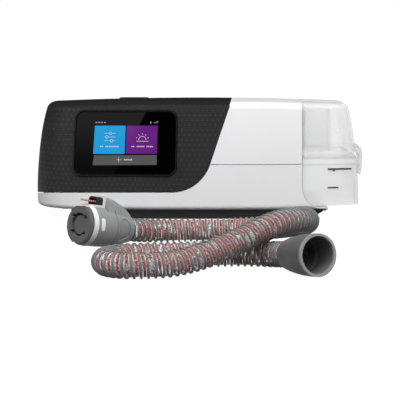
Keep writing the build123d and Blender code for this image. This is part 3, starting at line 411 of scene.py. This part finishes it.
give(seal_mat, "dock_port_seals", "blower_mounts")
give(foam, "muffler_foam")
give(fleece, "air_filter")
give(plate, "heater_plate", "tub_heat_plate")
give(tub_clear, "tub_base")
give(lid_clear, "tub_lid")
give(latch_clear, "tub_latch")
give(duct_clear, "lid_air_duct")
give(seal_clear, "tub_seal")
give(ink, "fill_level_marks")
give(cuff_mat, "hose_cuff")
give(conn_grey, "connector_body")
give(conn_white, "connector_ring", "indicator_pill")
give(conn_dark, "connector_face")
give(conn_black, "contact_housing")


def blade_mat():
    """Contact tongue: a row of copper-red fingers across a pale carrier."""
    m = Mat("contact_blade")
    sep = m.node("ShaderNodeSeparateXYZ")
    m.link(m.coords(), sep.inputs[0])
    x, y, z = sep.outputs
    t = m.math("ADD", m.math("ADD", m.math("MULTIPLY", x, -0.73427), m.math("MULTIPLY", y, -0.65794)), m.math("MULTIPLY", z, 0.16721))
    f = m.math("FRACT", m.math("DIVIDE", t, 0.0016))
    base = m.ramp(f, [(0.0, (0.36, 0.045, 0.030)), (0.50, (0.40, 0.060, 0.040)), (0.62, (0.62, 0.42, 0.38)), (0.95, (0.62, 0.42, 0.38))])
    tone = m.ramp(m.noise(300.0, 3.0), [(0.3, 0.85), (0.7, 1.0)])
    n = m.node("ShaderNodeMix", data_type="RGBA", blend_type="MULTIPLY")
    n.inputs[0].default_value = 1.0
    m.link(base, n.inputs[6])
    m.link(tone, n.inputs[7])
    m.color(n.outputs[2])
    m.rough(m.ramp(f, [(0.45, 0.25), (0.65, 0.5)]))
    m.normal(m.bump(f, 0.3, 0.0001))
    return m


give(blade_mat(), "contact_blade")

# --------------------------------------------------------------------------
# hose
# --------------------------------------------------------------------------
CUFF_K = Vector((52.6, -307.4, 10.1))
CUFF_M = Vector((67.6, -333.4, 13.45))
CUFF_A = (CUFF_M - CUFF_K).normalized()
ROUTE = [(-49.0, -199.0, 10.8), (-38.9, -189.95, 8.5), (-22.0, -183.5, 8.1), (0.0, -181.5, 8.1), (24.0, -184.5, 8.6),
         (46.0, -194.5, 11.2), (61.5, -211.5, 15.4), (68.3, -234.0, 20.0), (66.5, -257.0, 24.6), (58.0, -277.0, 27.0),
         (43.0, -295.5, 26.4), (22.0, -310.5, 18.0), (1.0, -323.5, 10.9), (-15.5, -332.0, 8.1), (-29.5, -336.5, 8.1),
         (-44.6, -337.4, 8.1), (-55.3, -327.6, 8.1), (-55.3, -313.2, 8.1), (-44.6, -302.6, 8.1), (-28.5, -298.1, 8.1),
         (-6.5, -294.3, 8.1), (13.5, -290.8, 8.1), (27.0, -290.2, 8.1), (38.5, -292.2, 8.2), (44.9, -296.6, 8.6),
         tuple(CUFF_K - CUFF_A * 5.8), tuple(CUFF_K)]


def route_points(ctrl):
    """Points along the NURBS spline of the route, in mm."""
    cu = bpy.data.curves.new("route_line", "CURVE")
    cu.dimensions = "3D"
    cu.resolution_u = 40
    sp = cu.splines.new("NURBS")
    sp.points.add(len(ctrl) - 1)
    for q, c in zip(sp.points, ctrl):
        q.co = (c[0] * MM, c[1] * MM, c[2] * MM, 1.0)
    sp.order_u = 3
    sp.use_endpoint_u = True
    ob = bpy.data.objects.new("route_line", cu)
    scene.collection.objects.link(ob)
    bpy.context.view_layer.update()
    me = bpy.data.meshes.new_from_object(ob)
    pts = np.array([v.co[:] for v in me.vertices]) / MM
    bpy.data.objects.remove(ob)
    bpy.data.curves.remove(cu)
    bpy.data.meshes.remove(me)
    return pts


class Line3:
    """Even sampling of a line with frames that don't twist."""

    def __init__(self, pts, step):
        seg = np.linalg.norm(np.diff(pts, axis=0), axis=1)
        keep = np.concatenate([[True], seg > 1e-6])
        pts = pts[keep]
        seg = np.linalg.norm(np.diff(pts, axis=0), axis=1)
        s = np.concatenate([[0], np.cumsum(seg)])
        self.length = s[-1]
        n = int(round(self.length / step))
        self.s = np.linspace(0, self.length, n + 1)
        self.p = np.stack([np.interp(self.s, s, pts[:, k]) for k in range(3)], 1)
        k = np.ones(9) / 9
        q = np.pad(self.p, ((4, 4), (0, 0)), mode="reflect", reflect_type="odd")
        self.p = np.stack([np.convolve(q[:, i], k, "valid") for i in range(3)], 1)
        t = np.gradient(self.p, axis=0)
        self.t = t / np.linalg.norm(t, axis=1)[:, None]
        nrm = np.zeros_like(self.t)
        up = np.array([0.0, 0.0, 1.0])
        v = up - self.t[0] * (up @ self.t[0])
        nrm[0] = v / np.linalg.norm(v)
        for i in range(1, len(self.t)):
            v = nrm[i - 1] - self.t[i] * (nrm[i - 1] @ self.t[i])
            nrm[i] = v / np.linalg.norm(v)
        self.n = nrm
        self.b = np.cross(self.t, nrm)

    def at(self, s):
        """Centre, tangent and both side vectors at the distances s."""
        f = np.clip(s, 0, self.length) / self.length * (len(self.s) - 1)
        i = np.minimum(f.astype(int), len(self.s) - 2)
        w = (f - i)[:, None]
        out = []
        for a in (self.p, self.t, self.n, self.b):
            out.append(a[i] * (1 - w) + a[i + 1] * w)
        return out


def grid_faces(rows, cols, base=0, closed=True):
    i = np.arange(rows - 1)[:, None]
    j = np.arange(cols)[None, :]
    a = base + i * cols + j
    b = base + i * cols + (j + 1) % cols
    return np.stack([a, b, b + cols, a + cols], -1).reshape(-1, 4)


def make_mesh(name, verts, faces, mats, mat_ids, smooth=True):
    me = bpy.data.meshes.new(name)
    me.from_pydata([tuple(v) for v in verts], [], [tuple(int(x) for x in f) for f in faces])
    for m in mats:
        me.materials.append(m.m if isinstance(m, Mat) else m)
    me.polygons.foreach_set("material_index", np.asarray(mat_ids, dtype=np.int32))
    me.polygons.foreach_set("use_smooth", np.full(len(me.polygons), smooth))
    me.update()
    ob = bpy.data.objects.new(name, me)
    scene.collection.objects.link(ob)
    return ob


hose_line = Line3(route_points(ROUTE), 0.25)
PITCH = 4.05
TURN0 = 0.9


def hose_wall():
    step = PITCH / 10.0
    n = int(hose_line.length / step)
    s = np.linspace(0.0, hose_line.length, n + 1)
    c, t, nn, b = hose_line.at(s)
    cols = 44
    th = np.arange(cols) * 2 * math.pi / cols
    ph = 2 * math.pi * (s[:, None] - TURN0) / PITCH - th[None, :]
    fade = np.clip(np.minimum(s, hose_line.length - s) / 2.0, 0, 1)[:, None]
    r = 6.85 + fade * 0.22 * np.cos(ph)
    v = c[:, None, :] + r[..., None] * (np.cos(th)[None, :, None] * nn[:, None, :] + np.sin(th)[None, :, None] * b[:, None, :])
    return v.reshape(-1, 3), grid_faces(n + 1, cols)


def helix_tube(radius, offset, half_r, half_t, sides, per_turn=40, power=2.0, ends=1.2):
    """A strip of rounded section wound along the hose."""
    turns = (hose_line.length - 2 * ends - 2 * abs(offset)) / PITCH
    n = int(turns * per_turn)
    ph = np.linspace(0, turns * 2 * math.pi, n + 1)
    s = ends + abs(offset) + ph / (2 * math.pi) * PITCH + offset
    s0 = s - offset
    ang = 2 * math.pi * (s0 - TURN0) / PITCH
    c, t, nn, b = hose_line.at(s)
    er = np.cos(ang)[:, None] * nn + np.sin(ang)[:, None] * b
    cx = c + er * radius
    u = np.arange(sides) * 2 * math.pi / sides
    cu = np.sign(np.cos(u)) * np.abs(np.cos(u)) ** (2 / power) * half_r
    su = np.sign(np.sin(u)) * np.abs(np.sin(u)) ** (2 / power) * half_t
    v = cx[:, None, :] + cu[None, :, None] * er[:, None, :] + su[None, :, None] * t[:, None, :]
    f = grid_faces(n + 1, sides)
    caps = [list(range(sides))[::-1], [n * sides + k for k in range(sides)]]
    return v.reshape(-1, 3), f, caps


def build_hose():
    verts, faces, ids = [], [], []
    count = 0

    def add(v, f, mat, caps=()):
        nonlocal count
        verts.append(v * MM)
        for q in f:
            faces.append([int(x) + count for x in q])
            ids.append(mat)
        for cp in caps:
            faces.append([x + count for x in cp])
            ids.append(mat)
        count += len(v)

    v, f = hose_wall()
    add(v, f, 0)
    v, f, caps = helix_tube(7.20, 0.0, 0.76, 0.70, 12, power=2.2)
    add(v, f, 1, caps)
    v, f, caps = helix_tube(6.78, PITCH * 0.5, 0.10, 0.78, 8, power=3.0)
    add(v, f, 2, caps)
    v = np.concatenate(verts)
    return v, faces, ids


def hose_materials():
    wall = Mat("hose_wall_clear")
    wall.set(Specular_IOR_Level=0.6)
    streak = wall.noise(1500.0, 3.0)
    wall.color(wall.ramp(streak, [(0.38, (0.40, 0.38, 0.38)), (0.52, (0.95, 0.945, 0.945))]))
    wall.rough(wall.ramp(wall.noise(300.0, 2.0), [(0.3, 0.10), (0.7, 0.25)]))
    wall.link(wall.ramp(streak, [(0.40, 0.34), (0.62, 0.50)]), wall.b.inputs["Alpha"])
    wall.normal(wall.bump(wall.noise(900.0, 2.0), 0.35, 0.0002))
    rib = plastic("hose_rib_grey", (0.168, 0.168, 0.171), 0.27, 0.08, 1600.0, 0.00003, 0.2)
    band = Mat("hose_wires_red")
    band.set(Specular_IOR_Level=0.5)
    fleck = band.noise(950.0, 3.0, 0.6)
    band.color(band.ramp(fleck, [(0.34, (0.18, 0.022, 0.016)), (0.48, (0.34, 0.050, 0.034)), (0.60, (0.46, 0.12, 0.09)), (0.70, (0.80, 0.62, 0.59))]))
    band.rough(band.ramp(fleck, [(0.3, 0.22), (0.7, 0.42)]))
    cover = band.ramp(band.noise(150.0, 3.0, 0.6), [(0.40, 0.0), (0.50, 0.95)])
    band.link(cover, band.b.inputs["Alpha"])
    band.normal(band.bump(fleck, 0.5, 0.0002))
    return [wall, rib, band]


hv, hf, hid = build_hose()
hose = make_mesh("heated_hose", hv, hf, hose_materials(), hid)
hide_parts("hose_tube")
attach(hose, "hose")
path_pts = hose_line.p[::8] * MM
path_pts = np.concatenate([path_pts, hose_line.p[-1:] * MM])
print("hose visual length", round(hose_line.length, 1))

# --------------------------------------------------------------------------
# display graphics, on the lens
# --------------------------------------------------------------------------
DP = Vector((-55.948, -63.468, 58.405))
DN = Vector((-0.0738, -0.988, 0.1354)).normalized()
DU = Vector((0.9972, -0.0745, 0.0)).normalized()
DV = DN.cross(DU).normalized()


def on_lens(u, v, out):
    return (DP + DU * u + DV * v + DN * out) * MM


def ui_material(name, col, glow):
    """Lit pixels under the lens: its colour, its glow and the lens's own gloss."""
    m = Mat(name)
    m.set(Roughness=0.04, Specular_IOR_Level=0.5, Emission_Strength=glow)
    cell = m.node("ShaderNodeTexNoise")
    cell.inputs["Scale"].default_value = 2500.0
    m.link(m.coords(), cell.inputs["Vector"])
    hi = tuple(min(1.0, c * 1.03) for c in col)
    lo = tuple(c * 0.97 for c in col)
    tone = m.ramp(cell.outputs["Fac"], [(0.35, lo), (0.65, hi)])
    m.link(tone, m.b.inputs["Emission Color"])
    m.set(Base_Color=(col[0] * 0.05, col[1] * 0.05, col[2] * 0.05, 1.0))
    return m


def lin(h):
    h = h.lstrip("#")
    out = []
    for i in (0, 2, 4):
        c = int(h[i:i + 2], 16) / 255
        out.append(c / 12.92 if c <= 0.04045 else ((c + 0.055) / 1.055) ** 2.4)
    return tuple(out)


UI = {
    "blue": ui_material("ui_blue", lin("#1a97d4"), 0.98),
    "purple": ui_material("ui_purple", lin("#66217d"), 0.98),
    "grey": ui_material("ui_grey", lin("#565656"), 0.95),
    "white": ui_material("ui_white", (0.80, 0.82, 0.84), 0.9),
    "soft": ui_material("ui_soft_white", (0.62, 0.62, 0.64), 0.9),
    "dim": ui_material("ui_dim_white", (0.36, 0.36, 0.37), 0.9),
    "grey_line": ui_material("ui_grey_line", (0.16, 0.16, 0.165), 0.9),
    "cyan": ui_material("ui_cyan", lin("#3fb4e6"), 0.9),
}


def ui_poly(parts, name, mat, out=0.03):
    """Flat figures on the lens. parts are outlines in (u, v)."""
    bm = bmesh.new()
    for outline in parts:
        vs = [bm.verts.new(on_lens(u, v, out)) for u, v in outline]
        f = bm.faces.new(vs)
        f.normal_update()
        if f.normal.dot(DN) < 0:
            f.normal_flip()
    bmesh.ops.triangulate(bm, faces=bm.faces[:])
    me = bpy.data.meshes.new(name)
    bm.to_mesh(me)
    bm.free()
    me.materials.append(mat.m)
    ob = bpy.data.objects.new(name, me)
    scene.collection.objects.link(ob)
    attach(ob, "machine")
    return ob


def quad_round(c, r, seg=6):
    """Rounded outline of a four-cornered figure."""
    out = []
    n = len(c)
    for i in range(n):
        p0, p1, p2 = Vector(c[i - 1]), Vector(c[i]), Vector(c[(i + 1) % n])
        a, b = (p0 - p1).normalized(), (p2 - p1).normalized()
        ang = math.acos(max(-1, min(1, a.dot(b))))
        d = r / math.tan(ang / 2)
        s, e = p1 + a * d, p1 + b * d
        cen = p1 + (a + b).normalized() * (r / math.sin(ang / 2))
        for k in range(seg + 1):
            w = k / seg
            v = (s - cen).lerp(e - cen, w)
            out.append(tuple(cen + v.normalized() * r))
    return out


def bar(u0, u1, v, h, r=None):
    r = h / 2 * 0.98 if r is None else r
    return quad_round([(u0, v - h / 2), (u1, v - h / 2), (u1, v + h / 2), (u0, v + h / 2)], r)


def circle(u, v, r, n=24):
    return [(u + r * math.cos(2 * math.pi * k / n), v + r * math.sin(2 * math.pi * k / n)) for k in range(n)]


def ring_parts(u, v, r0, r1, a0=0.0, a1=360.0, n=28):
    out = []
    for k in range(n):
        p = math.radians(a0 + (a1 - a0) * k / n)
        q = math.radians(a0 + (a1 - a0) * (k + 1) / n)
        out.append([(u + r0 * math.cos(p), v + r0 * math.sin(p)), (u + r1 * math.cos(p), v + r1 * math.sin(p)),
                    (u + r1 * math.cos(q), v + r1 * math.sin(q)), (u + r0 * math.cos(q), v + r0 * math.sin(q))])
    return out


ui_poly([quad_round([(-24.6, -8.2), (-0.8, -8.05), (-0.2, 13.3), (-23.5, 13.2)], 0.7)], "ui_tile_left", UI["blue"])
ui_poly([quad_round([(0.15, -8.0), (23.7, -7.7), (24.1, 13.4), (0.55, 13.3)], 0.7)], "ui_tile_right", UI["purple"])
ui_poly([quad_round([(-25.0, -16.7), (23.6, -16.2), (23.7, -8.7), (-24.0, -9.2)], 0.6)], "ui_tile_bottom", UI["grey"])
# header: a plain bar, a dot and signal steps
ui_poly([bar(-23.1 + 2.15 * k, -21.6 + 2.15 * k, 15.6, 0.72) for k in range(4)], "ui_header", UI["dim"])
ui_poly([bar(18.5, 19.3, 15.7, 1.7, 0.35)], "ui_link_dot", UI["cyan"])
ui_poly([[(20.8 + 0.95 * k, 15.2), (21.5 + 0.95 * k, 15.2), (21.5 + 0.95 * k, 15.7 + 0.45 * k), (20.8 + 0.95 * k, 15.7 + 0.45 * k)]
         for k in range(4)], "ui_signal", UI["grey_line"])
# sliders
sl = []
for v, knob in ((7.5, -11.6), (4.7, -14.4), (1.8, -10.6)):
    sl += [bar(-16.3, knob - 1.1, v, 0.20), bar(knob + 1.1, -7.8, v, 0.20)] if knob - 1.1 > -16.2 else \
        [bar(knob + 1.1, -7.8, v, 0.20)]
    sl += ring_parts(knob, v, 0.84, 1.06)
ui_poly(sl, "ui_sliders", UI["white"], 0.05)
# second tile: a plain rising figure of arc and bars
fig = ring_parts(12.6, 2.6, 2.6, 2.88, 0, 180) + [bar(8.0, 17.2, 1.6, 0.28)]
for a in (20, 55, 90, 125, 160):
    c, s_ = math.cos(math.radians(a)), math.sin(math.radians(a))
    fig.append(quad_round([(12.6 + 4.0 * c - .13 * s_, 2.6 + 4.0 * s_ + .13 * c), (12.6 + 4.0 * c + .13 * s_, 2.6 + 4.0 * s_ - .13 * c),
                           (12.6 + 5.1 * c + .13 * s_, 2.6 + 5.1 * s_ - .13 * c), (12.6 + 5.1 * c - .13 * s_, 2.6 + 5.1 * s_ + .13 * c)], 0.08))
ui_poly(fig, "ui_figure", UI["white"], 0.05)


def dashes(u0, u1, v, h, n, gaps=()):
    """A row of short plain dashes in the place of a label."""
    step = (u1 - u0) / n
    return [bar(u0 + step * k, u0 + step * (k + 0.74), v, h, h * 0.2) for k in range(n) if k not in gaps]


ui_poly(dashes(-19.4, -5.0, -2.5, 0.85, 11, (2,)), "ui_label_left", UI["soft"], 0.05)
ui_poly(dashes(4.4, 20.8, -2.4, 0.85, 13, (2, 8)), "ui_label_right", UI["soft"], 0.05)
ui_poly([bar(-7.0, -3.2, -12.45, 0.30), [(-5.25, -14.35), (-4.95, -14.35), (-4.95, -10.55), (-5.25, -10.55)]], "ui_plus",
        UI["soft"], 0.05)
ui_poly(dashes(-1.2, 5.4, -12.4, 0.95, 4), "ui_label_bottom", UI["soft"], 0.05)

# --------------------------------------------------------------------------
# floor, world and light
# --------------------------------------------------------------------------
fl = bpy.data.meshes.new("floor")
fl.from_pydata([(-6, -6, 0), (6, -6, 0), (6, 6, 0), (-6, 6, 0)], [], [(0, 1, 2, 3)])
floor = bpy.data.objects.new("floor", fl)
scene.collection.objects.link(floor)
fm = Mat("floor_pale")
fm.color(fm.ramp(fm.noise(3.0, 2.0), [(0.3, (0.075, 0.075, 0.075)), (0.7, (0.085, 0.085, 0.085))]))
fm.set(Roughness=0.9, Specular_IOR_Level=0.0)
flp = fm.node("ShaderNodeLightPath")
fm.set(Emission_Color=(1.0, 1.0, 1.0, 1.0))
fm.link(fm.math("MULTIPLY_ADD", fm.math("MAXIMUM", flp.outputs["Is Camera Ray"], flp.outputs["Is Transmission Ray"]), 0.97,
                fm.math("MULTIPLY", flp.outputs["Is Glossy Ray"], 0.40)), fm.b.inputs["Emission Strength"])
fl.materials.append(fm.m)

world = bpy.data.worlds.new("studio")
scene.world = world
world.use_nodes = True
wt = world.node_tree
bg = wt.nodes["Background"]


def wmath(op, a, b=None, c=None):
    n = wt.nodes.new("ShaderNodeMath")
    n.operation = op
    for i, v in enumerate((a, b, c)):
        if v is None:
            continue
        if isinstance(v, (int, float)):
            n.inputs[i].default_value = v
        else:
            wt.links.new(v, n.inputs[i])
    return n.outputs[0]


def wrange(value, a, b, lo_, hi_, kind="SMOOTHSTEP"):
    n = wt.nodes.new("ShaderNodeMapRange")
    n.interpolation_type = kind
    wt.links.new(value, n.inputs["Value"])
    n.inputs["From Min"].default_value = a
    n.inputs["From Max"].default_value = b
    n.inputs["To Min"].default_value = lo_
    n.inputs["To Max"].default_value = hi_
    return n.outputs["Result"]


wc = wt.nodes.new("ShaderNodeTexCoord")
wsep = wt.nodes.new("ShaderNodeSeparateXYZ")
wt.links.new(wc.outputs["Generated"], wsep.inputs[0])
wx, wy, wz = wsep.outputs
dome = wrange(wz, 0.22, 0.75, 0.0, 0.95)
# a low soft panel in front, to the left: its slanting edge crosses the display
edge = wmath("SUBTRACT", wmath("MULTIPLY_ADD", wz, 0.52, -0.2969), wx)
inside = wrange(edge, 0.0, 0.0012, 0.0, 1.0)
glow = wrange(wz, 0.180, 0.216, 0.09, 0.40)
front = wmath("LESS_THAN", wy, -0.5)
low = wmath("LESS_THAN", wz, 0.26)
panel = wmath("MULTIPLY", wmath("MULTIPLY", inside, glow), wmath("MULTIPLY", front, low))
lp = wt.nodes.new("ShaderNodeLightPath")
soft = wmath("MULTIPLY", dome, wmath("SUBTRACT", 1.0, wmath("MULTIPLY", lp.outputs["Is Glossy Ray"], 0.78)))
seen = wmath("MAXIMUM", soft, panel)
clear_view = wmath("MAXIMUM", lp.outputs["Is Camera Ray"], lp.outputs["Is Transmission Ray"])
wm = wt.nodes.new("ShaderNodeMix")
wm.data_type = "FLOAT"
wt.links.new(clear_view, wm.inputs[0])
wt.links.new(seen, wm.inputs[2])
wm.inputs[3].default_value = 1.0
wt.links.new(wm.outputs[0], bg.inputs["Strength"])
bg.inputs["Color"].default_value = (1, 1, 1, 1)


def area(name, loc, aim, size, power, size_y=None):
    li = bpy.data.lights.new(name, "AREA")
    li.energy = power
    li.shape = "RECTANGLE"
    li.size, li.size_y = size, size_y or size
    ob = bpy.data.objects.new(name, li)
    scene.collection.objects.link(ob)
    ob.location = loc
    d = Vector(aim) - Vector(loc)
    ob.rotation_euler = d.to_track_quat("-Z", "Y").to_euler()
    return ob


key = area("key_top", (0.0, -1.25, 1.15), (0.0, -0.05, 0.05), 1.8, 11.0, 1.2)
near = area("key_near", (0.05, -0.56, 0.50), (0.0, -0.08, 0.06), 1.1, 2.9, 0.25)
near.visible_glossy = False
key.visible_glossy = False
area("fill_left", (-1.5, -0.7, 0.8), (0.0, 0.0, 0.05), 0.9, 2.5)
area("fill_right", (1.5, -0.7, 0.8), (0.0, 0.0, 0.05), 0.9, 2.5)
